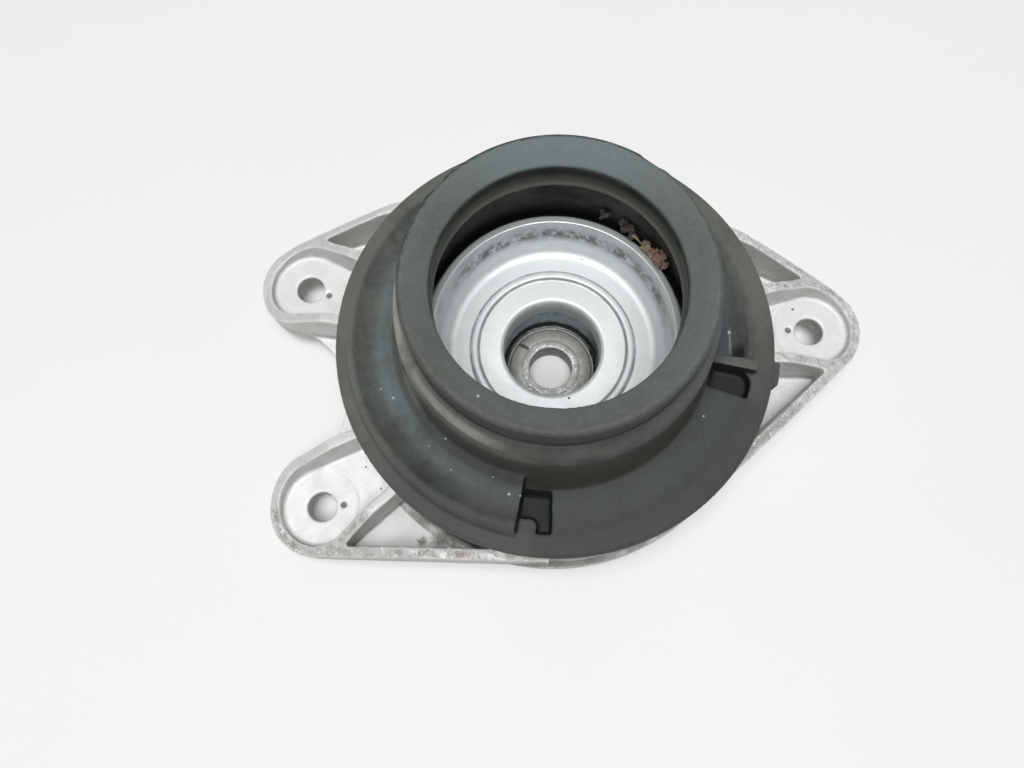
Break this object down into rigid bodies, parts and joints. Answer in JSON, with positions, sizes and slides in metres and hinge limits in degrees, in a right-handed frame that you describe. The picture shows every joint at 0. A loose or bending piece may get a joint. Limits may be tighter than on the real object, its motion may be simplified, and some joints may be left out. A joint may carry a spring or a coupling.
{
  "type": "strut mount",
  "caption": "Strut top mount: cast aluminium bracket with bolted ears, rubber spring pad with tall collar and helical seat, pressed steel bump stop cup and bonded rubber rod bush.",
  "frame": {"origin": "on the strut axis, in the end face of the central boss and of the bush core", "axes": "+Z along the strut axis towards the spring, as the mount stands on its boss; +X about 12.8 degrees before the single ear"},
  "size_m": [0.1882, 0.127, 0.0782],
  "materials": {
    "cast_aluminium": "die cast, corroded on its edges",
    "shell_steel": "plain",
    "bush_rubber": "moulded",
    "core_steel": "worn, with rust spots",
    "zinc_plate": "zinc plated",
    "pad_rubber": "moulded, dusty"
  },
  "bodies": {
    "root": {"bracket": "cast_aluminium", "bush_shell": "shell_steel", "bush_rubber": "bush_rubber", "bush_core": "core_steel", "bump_stop_cup": "zinc_plate", "spring_pad": "pad_rubber"}
  },
  "joints": []
}
